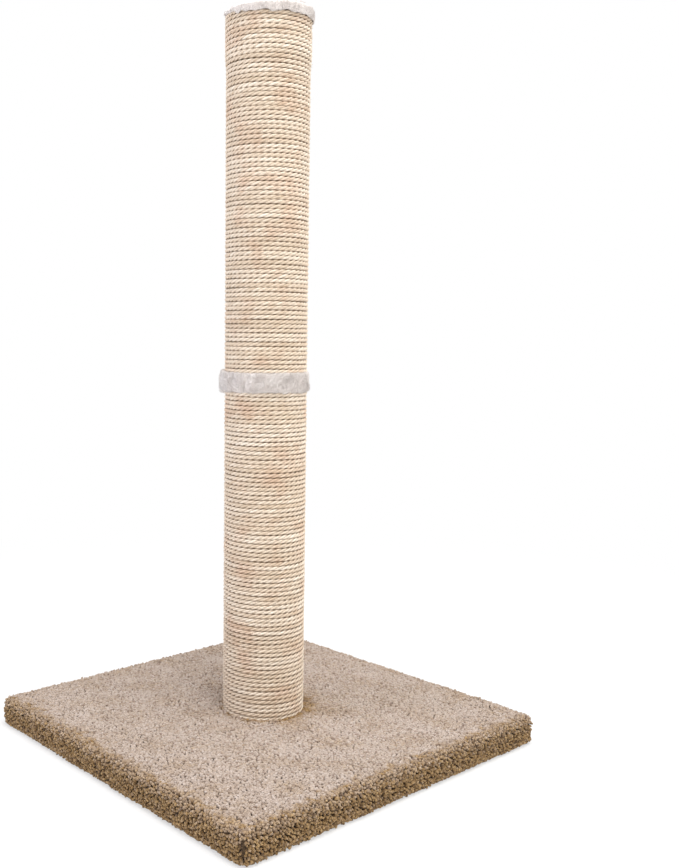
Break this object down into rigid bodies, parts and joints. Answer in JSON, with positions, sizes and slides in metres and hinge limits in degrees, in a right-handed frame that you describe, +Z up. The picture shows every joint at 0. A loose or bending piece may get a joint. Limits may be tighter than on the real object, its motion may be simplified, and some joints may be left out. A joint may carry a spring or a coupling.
{
  "type": "cat scratching post",
  "caption": "Upright round post wound in sisal rope, with a plush ring at its joint and a plush cap on top, bolted through a square carpeted base, for a cat to scratch.",
  "frame": {"origin": "middle of the base's underside, on the floor", "axes": "+Z up along the post; X and Y along the sides of the square base"},
  "size_m": [0.4, 0.4, 0.741],
  "materials": {
    "carpet": "heathered cut pile, beige with brown and grey tips",
    "sisal_rope": "twisted natural sisal, matt with a slight fibre sheen",
    "plush": "white short-pile plush",
    "fibreboard": "raw particle board",
    "liner": "spun-bonded non-woven, dark grey",
    "paper_tube": "spiral-wound paper tube, raw",
    "plug_plastic": "moulded polypropylene, fine texture",
    "zinc_steel": "bright zinc plated",
    "foam": "open-cell foam"
  },
  "bodies": {
    "root": {"base_board": "fibreboard", "base_carpet": "carpet", "base_liner": "liner", "hem_staples": "zinc_steel", "base_bolt": "zinc_steel", "base_washer": "zinc_steel", "lower_tube": "paper_tube", "lower_foot_plug": "plug_plastic", "lower_foot_nut": "zinc_steel", "lower_head_plug": "plug_plastic", "lower_head_nut": "zinc_steel", "joint_stud": "zinc_steel", "lower_rope": "sisal_rope", "mid_plush_ring": "plush", "upper_tube": "paper_tube", "upper_foot_plug": "plug_plastic", "upper_foot_nut": "zinc_steel", "upper_head_plug": "plug_plastic", "upper_rope": "sisal_rope", "top_pad": "foam", "top_plush_cap": "plush", "plug_staples": "zinc_steel", "rope_end_staples": "zinc_steel", "ring_staples": "zinc_steel", "skirt_staples": "zinc_steel"}
  },
  "joints": []
}
